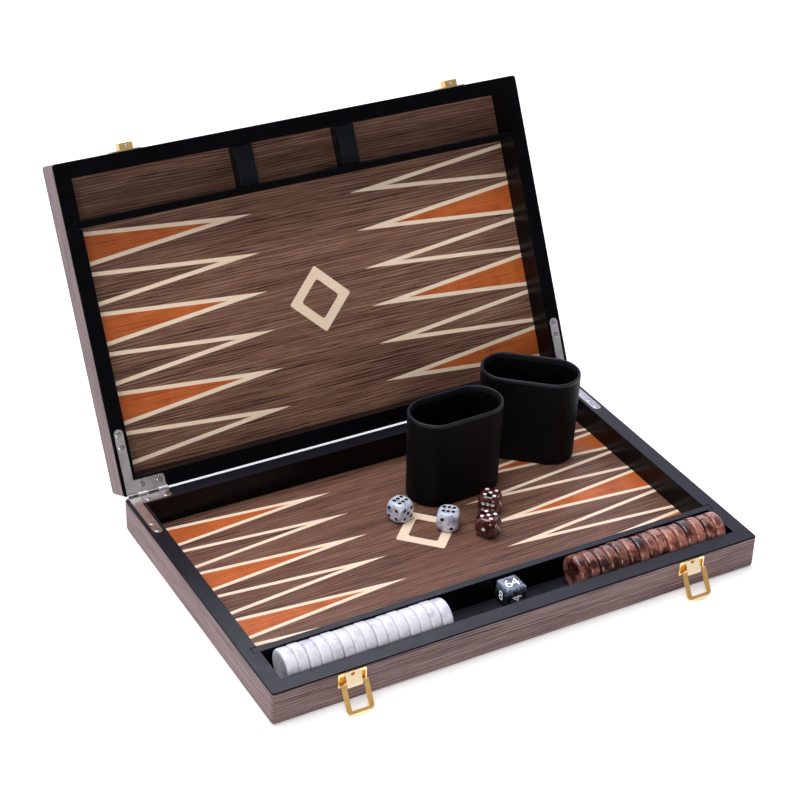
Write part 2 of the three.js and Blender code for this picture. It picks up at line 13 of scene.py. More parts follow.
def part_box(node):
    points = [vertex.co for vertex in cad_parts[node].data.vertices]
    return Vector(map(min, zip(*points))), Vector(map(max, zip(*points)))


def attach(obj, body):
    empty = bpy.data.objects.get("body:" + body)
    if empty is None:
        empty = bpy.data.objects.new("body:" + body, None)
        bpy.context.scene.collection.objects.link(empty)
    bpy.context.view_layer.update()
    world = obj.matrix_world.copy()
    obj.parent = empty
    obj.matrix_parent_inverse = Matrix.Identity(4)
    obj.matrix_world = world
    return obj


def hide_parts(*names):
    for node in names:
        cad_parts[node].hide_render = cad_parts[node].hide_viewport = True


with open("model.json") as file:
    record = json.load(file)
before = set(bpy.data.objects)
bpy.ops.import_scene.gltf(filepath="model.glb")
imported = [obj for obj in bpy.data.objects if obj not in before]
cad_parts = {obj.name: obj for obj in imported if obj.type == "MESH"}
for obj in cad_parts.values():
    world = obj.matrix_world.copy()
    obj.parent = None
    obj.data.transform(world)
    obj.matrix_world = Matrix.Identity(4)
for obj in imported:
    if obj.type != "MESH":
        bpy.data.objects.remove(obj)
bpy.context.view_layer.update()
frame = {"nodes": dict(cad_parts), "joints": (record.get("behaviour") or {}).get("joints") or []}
NODES = frame["nodes"]
rng = random.Random(7)
MM = 0.001
X, Y, Z = Vector((1, 0, 0)), Vector((0, 1, 0)), Vector((0, 0, 1))


# ---------------------------------------------------------------- values taken from the CAD
def box_mm(node):
    low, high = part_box(node)
    return [v / MM for v in low], [v / MM for v in high]


def center_mm(node):
    return Vector([(a + b) / 2 for a, b in zip(*box_mm(node))])


JOINTS = frame["joints"]
if isinstance(JOINTS, list):
    JOINTS = {joint["name"]: joint for joint in JOINTS}
HINGE = JOINTS["lid_hinge"]
AXIS = Vector(HINGE["pos_m"]) / MM
OPEN_DEG = abs(min(HINGE["range_deg"]))
LATCH_PIVOT = JOINTS["latch_left"]["pos_m"]      # metres
FRONT_Y = box_mm("base_veneer")[0][1] * MM       # metres
BOARD_TOP = box_mm("base_board")[1][2]
RIM_TOP = box_mm("base_frame")[1][2]

BASE = Matrix.Scale(MM, 4)
# closed-case millimetres -> open lid, in metres
LID = (Matrix.Scale(MM, 4) @ Matrix.Translation(AXIS)
       @ Matrix.Rotation(-math.radians(OPEN_DEG), 4, "X") @ Matrix.Translation(-AXIS))


def mirror_z(z):
    """Height mirrored about the seam plane: the lid's closed place."""
    return 2 * AXIS.z - z


# ---------------------------------------------------------------- node helpers
def linear(c):
    return c / 12.92 if c <= 0.04045 else ((c + 0.055) / 1.055) ** 2.4


def rgba(color):
    """Hex sRGB string, or linear tuple with or without alpha."""
    if isinstance(color, str):
        digits = color.lstrip("#")
        return tuple(linear(int(digits[i:i + 2], 16) / 255) for i in (0, 2, 4)) + (1,)
    return color if len(color) == 4 else color + (1,)


class Graph:
    """Short ways to add and link nodes in a node tree."""

    def __init__(self, tree):
        self.tree = tree
        self.nodes = tree.nodes

    def node(self, kind, **settings):
        node = self.nodes.new(kind)
        for key, value in settings.items():
            setattr(node, key, value)
        return node

    def feed(self, socket, value):
        """Link an output to the socket, or set the socket's value."""
        if hasattr(value, "is_output"):
            self.tree.links.new(value, socket)
        elif isinstance(value, (str, tuple)):
            socket.default_value = rgba(value)
        else:
            socket.default_value = value

    def coords(self, kind="Object"):
        return self.node("ShaderNodeTexCoord").outputs[kind]

    def split(self, vector):
        node = self.node("ShaderNodeSeparateXYZ")
        self.feed(node.inputs[0], vector)
        return node.outputs

    def mapping(self, vector, loc=(0, 0, 0), rot=(0, 0, 0), scale=(1, 1, 1)):
        node = self.node("ShaderNodeMapping")
        node.inputs["Location"].default_value = loc
        node.inputs["Rotation"].default_value = rot
        node.inputs["Scale"].default_value = scale
        self.feed(node.inputs["Vector"], vector)
        return node.outputs[0]

    def noise(self, vector, scale, detail, rough, output=0):
        node = self.node("ShaderNodeTexNoise")
        self.feed(node.inputs["Scale"], scale)
        self.feed(node.inputs["Detail"], detail)
        self.feed(node.inputs["Roughness"], rough)
        self.feed(node.inputs["Vector"], vector)
        return node.outputs[output]

    def ramp(self, factor, stops):
        node = self.node("ShaderNodeValToRGB")
        elements = node.color_ramp.elements
        while len(elements) > 1:
            elements.remove(elements[-1])
        elements[0].position = stops[0][0]
        elements[0].color = rgba(stops[0][1])
        for position, color in stops[1:]:
            elements.new(position).color = rgba(color)
        self.feed(node.inputs[0], factor)
        return node.outputs[0]

    def mix(self, factor, a, b):
        node = self.node("ShaderNodeMix", data_type="RGBA")
        self.feed(node.inputs[0], factor)
        self.feed(node.inputs[6], a)
        self.feed(node.inputs[7], b)
        return node.outputs[2]

    def mix_float(self, factor, a, b):
        node = self.node("ShaderNodeMix", data_type="FLOAT")
        self.feed(node.inputs[0], factor)
        self.feed(node.inputs[2], a)
        self.feed(node.inputs[3], b)
        return node.outputs[0]

    def calc(self, operation, a, b=0.0):
        node = self.node("ShaderNodeMath", operation=operation)
        self.feed(node.inputs[0], a)
        self.feed(node.inputs[1], b)
        return node.outputs[0]

    def add(self, a, b):
        return self.calc("ADD", a, b)

    def mul(self, a, b):
        return self.calc("MULTIPLY", a, b)

    def remap(self, value, source, target):
        """Map the range source (low, high) to target."""
        node = self.node("ShaderNodeMapRange")
        for socket, v in zip(node.inputs, (value, *source, *target)):
            self.feed(socket, v)
        return node.outputs[0]

    def bump(self, height, distance, strength):
        node = self.node("ShaderNodeBump")
        self.feed(node.inputs["Distance"], distance)
        self.feed(node.inputs["Strength"], strength)
        self.feed(node.inputs["Height"], height)
        return node.outputs[0]


class Surface(Graph):
    """The node tree of a material: a new one by name, or one that exists."""

    def __init__(self, material):
        if isinstance(material, str):
            material = bpy.data.materials.new(material)
            material.use_nodes = True
        super().__init__(material.node_tree)
        self.material = material
        self.inputs = self.nodes["Principled BSDF"].inputs

    def put(self, name, value):
        self.feed(self.inputs[name], value)

    def source(self, name):
        """What drives a shader input now: the linked output, or its value."""
        socket = self.inputs[name]
        return socket.links[0].from_socket if socket.is_linked else socket.default_value


# ---------------------------------------------------------------- materials
def lid_coords(s):
    """Object coordinates turned back to the closed case, so that grain runs the same way."""
    angle = math.radians(OPEN_DEG)
    axis = AXIS * MM
    return s.mapping(s.coords(), loc=axis - Matrix.Rotation(angle, 3, "X") @ axis,
                     rot=(angle, 0, 0))


def veneer_grain(s, place, axis):
    """Tone and pores of grain running along an axis (0 = X, 1 = Y)."""
    line_pitch = 2.9 * MM
    along = place[axis]
    across = s.add(place[1 - axis], place[2])

    def streaks(length, width, offset=0.0, detail=3, rough=.5):
        """Noise with these frequencies along and across the grain."""
        vector = s.node("ShaderNodeCombineXYZ")
        s.feed(vector.inputs[0], s.mul(along, length))
        s.feed(vector.inputs[1], s.mul(across, width))
        s.feed(vector.inputs[2], offset)
        return s.noise(vector.outputs[0], scale=1, detail=detail, rough=rough)

    def thin_lines(length, width, offset, half, depth):
        """Dark lines where the noise crosses its middle."""
        noise = streaks(length, width, offset, detail=2, rough=.45)
        ridge = s.calc("ABSOLUTE", s.calc("SUBTRACT", noise, .5))
        return s.remap(ridge, (0, half), (-depth, 0))

    def centered(noise, weight):
        return s.mul(s.calc("SUBTRACT", noise, .5), weight)

    # wavering main lines
    phase = s.add(across, s.mul(streaks(4, 16), .016))
    phase = s.add(phase, s.mul(streaks(12, 70, 3.3, rough=.55), .0032))
    wave = s.calc("SINE", s.mul(phase, 2 * math.pi / line_pitch))
    strength = streaks(9, 90, 8.1, rough=.6)
    broad = streaks(3, 26, 9.4)
    tone = s.mul(s.remap(wave, (-1, -.1), (-1, 0)), s.remap(strength, (.38, .6), (.07, .19)))
    # fine, finest and broad streaks
    tone = s.add(tone, centered(streaks(9, 950, 1.7, detail=4, rough=.6), weight=.40))
    tone = s.add(tone, centered(streaks(26, 1700, 5.2, rough=.6), weight=.42))
    tone = s.add(tone, centered(broad, weight=.10))
    # two sets of thin lines, each fading in and out
    tone = s.add(tone, s.mul(thin_lines(6, 260, 12.7, half=.05, depth=.13),
                             s.remap(strength, (.40, .56), (.35, 1))))
    tone = s.add(tone, s.mul(thin_lines(8, 520, 21.4, half=.07, depth=.12),
                             s.remap(broad, (.42, .58), (1, .35))))
    return s.add(tone, .59), streaks(55, 2300, 2.2, detail=2)


def veneer(name, dark, mid, light, rough, lid=False, turn_sides=False):
    """Straight-grained veneer along X; faces looking along X can have it along Y."""
    s = Surface(name)
    place = s.split(lid_coords(s) if lid else s.coords())
    tone, pore_noise = veneer_grain(s, place, 0)
    if turn_sides:
        normal = s.split(s.node("ShaderNodeNewGeometry").outputs["Normal"])
        side = s.calc("GREATER_THAN", s.calc("ABSOLUTE", normal[0]), .6)
        side_tone, side_pores = veneer_grain(s, place, 1)
        tone = s.mix_float(side, tone, side_tone)
        pore_noise = s.mix_float(side, pore_noise, side_pores)
    color = s.ramp(tone, [(.33, dark), (.47, mid), (.54, mid), (.66, light)])
    pores = s.ramp(pore_noise, [(.30, (0, 0, 0)), (.40, (1, 1, 1))])
    s.put("Base Color", s.mix(s.remap(pores, (0, 1), (.55, 0)), color, dark))
    s.put("Roughness", s.remap(tone, (.35, .65), (rough + .06, rough - .06)))
    s.put("Specular IOR Level", .3)
    height = s.add(s.mul(pores, .6), s.mul(tone, .6))
    s.put("Normal", s.bump(height, distance=.00006, strength=.5))
    return s.material


def lacquer(name, rough, color, gloss_var=.05, spec=.5, top=None, wall_spec=None):
    """Black lacquer; faces that look straight up can have their own colour, a painted reflection
    of the light above, and their own gloss.
    """
    s = Surface(name)
    place = s.coords()
    fine = s.noise(place, scale=90, detail=4, rough=.6)
    clouds = s.noise(place, scale=9, detail=3, rough=.6)
    body = s.mix(s.remap(clouds, (.35, .65), (0, .5)), color,
                 "#0d0f13" if wall_spec is None else color)
    s.put("Roughness", s.remap(fine, (.3, .7), (rough - gloss_var, rough + gloss_var)))
    # On faces that look up, top is a lighter bluish colour: a painted reflection of the bright
    # space above.
    if top:
        up = s.calc("GREATER_THAN", s.split(s.coords("Normal"))[2], .95)
        body = s.mix(up, body, top)
        spec = s.remap(up, (0, 1), (wall_spec, spec))
    s.put("Specular IOR Level", spec)
    s.put("Base Color", body)
    return s.material


def inlay(name, dark, mid, light, streak):
    """Smooth inlay veneer, streaked along X; streak is the spread of its tones."""
    s = Surface(name)
    place = s.coords()
    rough = .42
    long = s.noise(s.mapping(place, scale=(14, 900, 900)), scale=1, detail=5, rough=.62)
    cross = s.noise(s.mapping(place, scale=(55, 22, 22)), scale=1, detail=3, rough=.5)
    tone = s.add(s.mul(long, .75), s.mul(cross, .25))
    color = s.ramp(tone, [(.5 - streak * 1.5, dark), (.5, mid), (.5 + streak * 1.5, light)])
    fine = s.noise(s.mapping(place, scale=(60, 2400, 2400)), scale=1, detail=2, rough=.5)
    s.put("Base Color", s.mix(s.remap(fine, (.38, .3), (0, .35)), color, dark))
    s.put("Roughness", s.remap(long, (.35, .65), (rough + .05, rough - .05)))
    s.put("Specular IOR Level", .4)
    s.put("Normal", s.bump(s.add(long, fine), distance=.00003, strength=.5))
    return s.material


def metal(name, color, rough, dark, brushed=None):
    """Metal with cloudy wear; brushed gives the brush marks' frequency along each axis."""
    s = Surface(name)
    place = s.coords()
    wear = s.noise(place, scale=40, detail=3, rough=.6)
    s.put("Base Color", s.mix(s.remap(wear, (.35, .65), (0, 1)), color, dark))
    s.put("Metallic", 1.0)
    if brushed:
        marks = s.noise(s.mapping(place, scale=brushed), scale=1, detail=4, rough=.6)
        s.put("Roughness", s.remap(marks, (.3, .7), (rough - .05, rough + .12)))
        s.put("Normal", s.bump(marks, distance=.00002, strength=.5))
    else:
        fine = s.noise(place, scale=220, detail=5, rough=.65)
        s.put("Roughness", s.remap(fine, (.3, .7), (rough - .01, rough + .03)))
        s.put("Normal", s.bump(fine, distance=.00001, strength=.05))
    return s.material


def zone(material, mask_of, color, rough, metallic):
    """Give one zone of a metal (mask from object coordinates) its own colour and polish."""
    s = Surface(material)
    mask = mask_of(s)
    s.put("Base Color", s.mix(mask, s.source("Base Color"), color))
    s.put("Roughness", s.mix_float(mask, s.source("Roughness"), rough))
    s.put("Metallic", s.mix_float(mask, s.source("Metallic"), metallic))
    return material


def plate_back_mask(s):
    return s.calc("GREATER_THAN", s.split(s.coords())[1], FRONT_Y - .0004)


# The sloping tongue at the plate's front is painted pale and less metallic: a painted highlight
# where it would reflect the dark front.
def plate_front_highlight_mask(s):
    return s.calc("LESS_THAN", s.split(s.coords())[1], FRONT_Y - .00112)


def bail_highlight_mask(s):
    """Finger tab and arm caps, painted pale and less metallic as a painted highlight where the
    light catches them: the bail hangs 30 degrees out from the pivot.
    """
    sin_hang, cos_hang = .5, .8660254
    place = s.split(s.coords())
    out = s.calc("SUBTRACT", LATCH_PIVOT[1], place[1])
    down = s.calc("SUBTRACT", LATCH_PIVOT[2], place[2])
    along = s.add(s.mul(out, sin_hang), s.mul(down, cos_hang))
    forward = s.calc("SUBTRACT", s.mul(out, cos_hang), s.mul(down, sin_hang))
    tab_highlight = s.mul(s.calc("GREATER_THAN", along, .0238), s.calc("GREATER_THAN", forward, .00135))
    tab_highlight = s.calc("MAXIMUM", tab_highlight, s.calc("GREATER_THAN", along, .0243))
    arm_end_highlight = s.calc("GREATER_THAN", -.00045, along)
    return s.calc("MAXIMUM", tab_highlight, arm_end_highlight)


def marble(name, stops, scale, warp, rough, coat, scatter=0.0, varied=0.0, darken=0.0):
    """Polished marble that differs from object to object.

    warp bends the pattern (m), varied shifts the tone per object, darken is the most
    that an object can be darkened."""
    s = Surface(name)
    place = s.coords()
    chance = s.node("ShaderNodeObjectInfo").outputs["Random"]
    offset = s.node("ShaderNodeCombineXYZ")
    s.feed(offset.inputs[0], s.mul(chance, 3.7))
    s.feed(offset.inputs[1], s.mul(chance, -5.3))
    moved = s.node("ShaderNodeVectorMath", operation="ADD")
    s.feed(moved.inputs[0], place)
    s.feed(moved.inputs[1], offset.outputs[0])
    bend = s.noise(moved.outputs[0], scale=scale * .6, detail=3, rough=.55, output="Color")
    warped = s.node("ShaderNodeVectorMath", operation="MULTIPLY_ADD")
    s.feed(warped.inputs[0], bend)
    warped.inputs[1].default_value = (warp, warp, warp)
    s.feed(warped.inputs[2], moved.outputs[0])
    tone = s.noise(warped.outputs[0], scale=scale, detail=5, rough=.6)
    if varied:
        tone = s.add(tone, s.remap(chance, (0, 1), (-varied, varied)))
    color = s.ramp(tone, stops)
    if darken:
        second_chance = s.calc("FRACT", s.mul(chance, 17.31))
        color = s.mix(s.remap(second_chance, (0, 1), (darken, 0)), color, "#120c0d")
    s.put("Base Color", color)
    fine = s.noise(place, scale=300, detail=3, rough=.6)
    s.put("Roughness", s.remap(fine, (.3, .7), (rough - .03, rough + .05)))
    s.put("Coat Weight", coat)
    s.put("Coat Roughness", .06)
    if scatter:
        s.put("Subsurface Weight", scatter)
        s.inputs["Subsurface Radius"].default_value = (.004, .004, .0045)
        s.put("Subsurface Scale", 1.0)
    ripple = s.noise(place, scale=160, detail=2, rough=.5)
    s.put("Normal", s.bump(ripple, distance=.00002, strength=.2))
    return s.material


def leather(name, color, rough, spec=.1):
    """Leatherette with a cellular grain."""
    s = Surface(name)
    place = s.coords()
    cells = s.node("ShaderNodeTexVoronoi", feature="DISTANCE_TO_EDGE")
    s.feed(cells.inputs["Scale"], 1300)
    s.feed(cells.inputs["Vector"], place)
    fine = s.noise(place, scale=700, detail=4, rough=.6)
    clouds = s.noise(place, scale=35, detail=3, rough=.55)
    s.put("Base Color", s.mix(s.remap(clouds, (.35, .65), (0, .3)), color, "#0d0e12"))
    s.put("Roughness", s.remap(fine, (.3, .7), (rough - .06, rough + .1)))
    s.put("Specular IOR Level", spec)
    s.put("Sheen Weight", .01)
    s.put("Sheen Roughness", .4)
    height = s.add(s.remap(cells.outputs["Distance"], (0, .12), (0, 1)), s.mul(fine, .8))
    s.put("Normal", s.bump(height, distance=.00006, strength=.35))
    return s.material


def paint(name, color, mute=0, spec=.2, painted_glow=0):
    """Matt paint; mute is how far the noise greys it, and the glow strength makes it shine by
    itself as painted light.
    """
    s = Surface(name)
    rough = .6
    fine = s.noise(s.coords(), scale=500, detail=3, rough=.6)
    s.put("Base Color", s.mix(s.remap(fine, (.3, .7), (0, mute)), color, "#808088"))
    s.put("Specular IOR Level", spec)
    s.put("Roughness", s.remap(fine, (.3, .7), (rough - .05, rough + .1)))
    s.put("Normal", s.bump(fine, distance=.00002, strength=.3))
    if painted_glow:
        s.put("Emission Color", (1, 1, 1, 1))
        s.put("Emission Strength", painted_glow)
    return s.material


OUTER = ("#342627", "#735a58", "#957c79")       # dark, mid and light of the outer veneer
VENEER_BOARD_BASE = veneer("veneer_board_base", "#2a1a16", "#714d3f", "#997261", rough=.47)
# The lid board's veneer is a lighter copy of the base board's, as painted light on the lid.
VENEER_BOARD_LID_PAINTED_LIGHT = veneer("veneer_board_lid", "#2c1d18", "#785444", "#a27e6a", rough=.47,
                          lid=True)
VENEER_OUTER_BASE = veneer("veneer_outer_base", *OUTER, rough=.5, turn_sides=True)
VENEER_OUTER_LID = veneer("veneer_outer_lid", *OUTER, rough=.5, lid=True, turn_sides=True)
# The rim tops' bluish top colour is a painted reflection, not a different lacquer.
BLACK = lacquer("black_lacquer", rough=.33, color="#050508", top="#0d0c1a", wall_spec=.14,
                spec=.39)
BLACK_PART = lacquer("black_lacquer_part", rough=.4, color="#12141c", spec=.3)
# Trough floor: its grey-blue body and lighter top stand for reflected light on black lacquer, a
# painted reflection.
BLACK_GLOSS_PAINTED_SHEEN = lacquer("black_polished", rough=.3, gloss_var=.03, spec=.6, color="#1c1c25",
                      top="#26262f", wall_spec=.5)
ORANGE = inlay("orange_veneer", "#964019", "#c5642d", "#da7a40", streak=.11)
MAPLE = inlay("maple_veneer", "#f2cfae", "#ffe6cb", "#fff0dd", streak=.16)
NICKEL = metal("nickel", "#e0dadb", rough=.24, dark="#bdb7b9")
NICKEL_BRUSHED = metal("nickel_brushed", "#e6e1e2", rough=.46, dark="#c7c1c3",
                       brushed=(400, 400, 30))
SCREW = metal("screw_steel", "#cfcacb", rough=.14, dark="#b9b4b6")
GOLD_CATCH = metal("gold_catch", "#f6d796", rough=.5, dark="#f0cd88")
GOLD_PLATE = metal("gold_plate", "#fde5b6", rough=.17, dark="#fbdda6")
zone(GOLD_PLATE, plate_back_mask, "#ffc53c", rough=.3, metallic=.4)
# Painted highlight on the latch tongue.
zone(GOLD_PLATE, plate_front_highlight_mask, "#ffe6bf", rough=.4, metallic=.12)
GOLD_BAIL = metal("gold_bail", "#f9d086", rough=.5, dark="#edbf72", brushed=(2600, 60, 60))
# Painted highlight: a pale, less metallic finger tab and arm caps.
zone(GOLD_BAIL, bail_highlight_mask, "#fff0c0", rough=.42, metallic=.4)
PEARL = marble("pearl_marble", [
    (.3, "#c3c0d0"), (.40, "#d9d6e2"), (.46, "#e9e7f0"), (.56, "#edebf4"), (.63, "#d8d5e0"),
    (.72, "#e8e6ef")], scale=55, warp=.035, rough=.2, coat=.3, scatter=.1)
BROWN = marble("brown_marble", [
    (.30, "#281819"), (.41, "#57302a"), (.47, "#9c5c4b"), (.53, "#c98a78"), (.58, "#a66757"),
    (.65, "#603c39"), (.74, "#352224")],
    scale=44, warp=.028, rough=.1, coat=.8, varied=.06, darken=.7)
DIE_PEARL = marble("die_pearl", [
    (.3, "#7f86a0"), (.42, "#aab2c8"), (.52, "#dfe3ef"), (.60, "#c2c8da"), (.70, "#949bb2")],
    scale=75, warp=.03, rough=.14, coat=.6, scatter=.1)
DIE_BROWN = marble("die_brown", [
    (.3, "#0e0607"), (.42, "#240c0c"), (.50, "#481915"), (.57, "#6c2f28"), (.62, "#46282a"),
    (.70, "#201011")], scale=85, warp=.03, rough=.12, coat=.8)
CUBE_MARBLE = marble("cube_marble", [
    (.34, "#07080a"), (.43, "#171b22"), (.50, "#3c4454"), (.57, "#848da6"), (.63, "#3a4150"),
    (.72, "#15181e")], scale=60, warp=.035, rough=.14, coat=.7)
LEATHER = leather("leatherette", "#050506", rough=.5)
LEATHER_LINING = leather("leatherette_lining", "#040405", rough=.62)
PIP_BLACK = paint("pip_black", "#030304")
PIP_WHITE = paint("pip_white", "#fbfafa", mute=.12, spec=.5)
# The numerals shine by themselves: painted light that keeps them bright in the trough's shade.
NUMERAL_WHITE = paint("numeral_white", "#fbfbfd", painted_glow=.3)
# Near-black in the screws' cross recesses: painted shade.
RECESS_PAINTED_SHADE = lacquer("recess_dark", rough=.5, color="#040404")


# ---------------------------------------------------------------- object and mesh helpers
def link_new(name, data):
    obj = bpy.data.objects.new(name, data)
    bpy.context.scene.collection.objects.link(obj)
    return obj


def add_obj(name, mesh, materials, matrix, body=None, replaces=(), smooth=30):
    """Add a mesh as an object; the matrix's scale goes into the mesh."""
    loc, rot, scale = matrix.decompose()
    mesh.transform(Matrix.Diagonal(scale).to_4x4())
    obj = link_new(name, mesh)
    obj.matrix_world = Matrix.LocRotScale(loc, rot, None)
    for material in materials:
        mesh.materials.append(material)
    if smooth is not None:
        shade(mesh, smooth)
    if body:
        bpy.context.view_layer.update()
        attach(obj, body)
    if replaces:
        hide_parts(*replaces)
    return obj


def shade(mesh, angle):
    """Smooth shading, with edges sharper than the angle (degrees) kept sharp."""
    bm = bmesh.new()
    bm.from_mesh(mesh)
    limit = math.radians(angle)
    for face in bm.faces:
        face.smooth = True
    for edge in bm.edges:
        edge.smooth = not (len(edge.link_faces) != 2 or edge.calc_face_angle(0) > limit)
    bm.to_mesh(mesh)
    bm.free()


def mesh_from(verts, faces):
    mesh = bpy.data.meshes.new("part")
    mesh.from_pydata([tuple(v) for v in verts], [], faces)
    mesh.update()
    return mesh


def evaluated_mesh(obj):
    """The mesh an object evaluates to; the object is removed."""
    bpy.context.view_layer.update()
    graph = bpy.context.evaluated_depsgraph_get()
    mesh = bpy.data.meshes.new_from_object(obj.evaluated_get(graph))
    bpy.data.objects.remove(obj)
    return mesh


def drop_repeats(faces_row):
    return tuple(dict.fromkeys(faces_row))


def lathe(profile, segments, axis="Z"):
    """Turn a profile [(radius, height)...] about Z or X."""
    verts, faces, rows = [], [], []
    for r, z in profile:
        if r < 1e-9:
            rows.append([len(verts)] * segments)
            verts.append((0, 0, z))
        else:
            rows.append([len(verts) + i for i in range(segments)])
            for i in range(segments):
                a = 2 * math.pi * i / segments
                verts.append((r * math.cos(a), r * math.sin(a), z))
    for low, high in zip(rows, rows[1:]):
        for i in range(segments):
            j = (i + 1) % segments
            face = drop_repeats((low[i], low[j], high[j], high[i]))
            if len(face) > 2:
                faces.append(face)
    if axis == "X":
        verts = [(z, x, y) for x, y, z in verts]
    return mesh_from(verts, faces)


def arc(cx, cy, r, start, end, steps):
    """Points of an arc, angles in degrees."""
    angles = [math.radians(start + (end - start) * i / steps) for i in range(steps + 1)]
    return [(cx + r * math.cos(a), cy + r * math.sin(a)) for a in angles]


def plate(loops, z0, z1):
    """Flat plate between two heights, from 2-D loops: the outline, then the holes."""
    curve = bpy.data.curves.new("plate", "CURVE")
    curve.dimensions = "2D"
    curve.fill_mode = "BOTH"
    for loop in loops:
        spline = curve.splines.new("POLY")
        spline.points.add(len(loop) - 1)
        for point, (x, y) in zip(spline.points, loop):
            point.co = (x, y, 0, 1)
        spline.use_cyclic_u = True
    curve.extrude = (z1 - z0) / 2
    mesh = evaluated_mesh(link_new("plate", curve))
    mesh.transform(Matrix.Translation((0, 0, (z0 + z1) / 2)))
    bm = bmesh.new()
    bm.from_mesh(mesh)
    bmesh.ops.remove_doubles(bm, verts=bm.verts, dist=1e-4)
    bmesh.ops.recalc_face_normals(bm, faces=bm.faces)
    bm.to_mesh(mesh)
    bm.free()
    return mesh


def prism(loop, z0, z1):
    n = len(loop)
    area = sum(x0 * y1 - x1 * y0 for (x0, y0), (x1, y1) in zip(loop, loop[1:] + loop[:1]))
    if area < 0:
        loop = loop[::-1]
    verts = [(x, y, z0) for x, y in loop] + [(x, y, z1) for x, y in loop]
    faces = [tuple(reversed(range(n))), tuple(range(n, 2 * n))]
    faces += [(i, (i + 1) % n, (i + 1) % n + n, i + n) for i in range(n)]
    return mesh_from(verts, faces)


def join_meshes(items, keep_index=False):
    """Join [(mesh, matrix)...]; faces get the first material unless keep_index is set."""
    joined = bmesh.new()
    for mesh, matrix in items:
        bm = bmesh.new()
        bm.from_mesh(mesh)
        bmesh.ops.transform(bm, matrix=matrix, verts=bm.verts)
        if not keep_index:
            for face in bm.faces:
                face.material_index = 0
        moved = bpy.data.meshes.new("moved")
        bm.to_mesh(moved)
        bm.free()
        joined.from_mesh(moved)
        bpy.data.meshes.remove(moved)
    mesh = bpy.data.meshes.new("joined")
    joined.to_mesh(mesh)
    joined.free()
    return mesh


def cut(mesh, cutter):
    """Mesh minus cutter, with the cutter's material on the cut faces."""
    body_obj = link_new("body", mesh)
    cutter_obj = link_new("cutter", cutter)
    mod = body_obj.modifiers.new("cut", "BOOLEAN")
    mod.operation = "DIFFERENCE"
    mod.solver = "EXACT"
    mod.material_mode = "TRANSFER"
    mod.object = cutter_obj
    result = evaluated_mesh(body_obj)
    bpy.data.objects.remove(cutter_obj)
    return result


def carry(node, material, bevel=0.0):
    """A CAD node that is shown as it is, with a finish and softened edges."""
    obj = NODES[node]
    mesh = obj.data
    mesh.materials.clear()
    mesh.materials.append(material)
    if mesh.attributes.get("custom_normal"):
        mesh.attributes.remove(mesh.attributes["custom_normal"])
    mesh.polygons.foreach_set("use_smooth", [False] * len(mesh.polygons))
    obj.modifiers.new("weld", "WELD").merge_threshold = 2e-6
    if bevel:
        soft = obj.modifiers.new("soft_edges", "BEVEL")
        soft.width = bevel * MM
        soft.segments = 2
        soft.limit_method = "ANGLE"
        soft.angle_limit = math.radians(30)
        soft.use_clamp_overlap = True


# ---------------------------------------------------------------- case
carry("base_frame", BLACK)
carry("lid_frame", BLACK)
carry("base_veneer", VENEER_OUTER_BASE)
carry("lid_veneer", VENEER_OUTER_LID)
carry("base_board", VENEER_BOARD_BASE)
carry("lid_board", VENEER_BOARD_LID_PAINTED_LIGHT)
carry("base_rail", BLACK, bevel=.35)
carry("lid_rail", BLACK, bevel=.35)
carry("trough_floor", BLACK_GLOSS_PAINTED_SHEEN, bevel=.3)
carry("lid_divider_left", BLACK_PART, bevel=.5)
carry("lid_divider_right", BLACK_PART, bevel=.5)

# ---------------------------------------------------------------- inlays
WALL_X = box_mm("base_board")[1][0]     # the points' broad ends
TIP_X = 51.5
POINT_PITCH = 37.05
FIRST_POINT_Y = -72.0
POINT_HALF = 16.55                      # half width at the wall
EDGING = 3.9                            # width of the maple edging
FILL_GAP, FILL_TIP_GAP = .06, .6        # between edging and orange fill
DIAMOND_Y = 20.4
INLAY_RISE, INLAY_SINK = .12, .02       # above and below the board's surface


def point_loops(side, i):
    """Maple edging and orange fill of point i, on the left (-1) or right (1)."""
    y = FIRST_POINT_Y + POINT_PITCH * i
    slope = POINT_HALF / (WALL_X - TIP_X)
    edge = EDGING * math.sqrt(1 + slope ** 2)
    wall, tip = side * WALL_X, side * TIP_X
    inner_tip = TIP_X + edge / slope
    inner_half = POINT_HALF - edge
    edging = [(wall, y + POINT_HALF), (tip, y), (wall, y - POINT_HALF),
              (wall, y - inner_half), (side * inner_tip, y), (wall, y + inner_half)]
    fill = [(wall, y + inner_half - FILL_GAP), (side * (inner_tip + FILL_TIP_GAP), y),
            (wall, y - inner_half + FILL_GAP)]
    return edging, fill


def diamond(half, r):
    """Square standing on its corner, corners rounded to r."""
    points = []
    for turn in (0, 90, 180, 270):
        c = half - r * math.sqrt(2)
        cx = c * math.cos(math.radians(turn))
        cy = DIAMOND_Y + c * math.sin(math.radians(turn))
        points += arc(cx, cy, r, turn - 45, turn + 45, 6)
    return points


def add_inlays(half, matrix):
    if half == "base":
        z0, z1 = BOARD_TOP - INLAY_SINK, BOARD_TOP + INLAY_RISE
    else:
        z0, z1 = mirror_z(BOARD_TOP) - INLAY_RISE, mirror_z(BOARD_TOP) + INLAY_SINK
    maple, orange = [], []
    for side in (-1, 1):
        # every other point is orange; the halves and sides alternate
        orange_odd = (side < 0) == (half == "base")
        for i in range(6):
            edging, fill = point_loops(side, i)
            maple.append((prism(edging, z0, z1), Matrix()))
            if (i % 2 == 1) == orange_odd:
                orange.append((prism(fill, z0, z1), Matrix()))
    frame_loops = [diamond(32.3, 2.0), diamond(19.6, 2.6)]
    maple.append((plate(frame_loops, z0, z1), Matrix()))
    for wood, items, material in (("maple", maple, MAPLE), ("orange", orange, ORANGE)):
        add_obj("%s_%s_inlay" % (half, wood), join_meshes(items), [material], matrix,
                half, smooth=None)


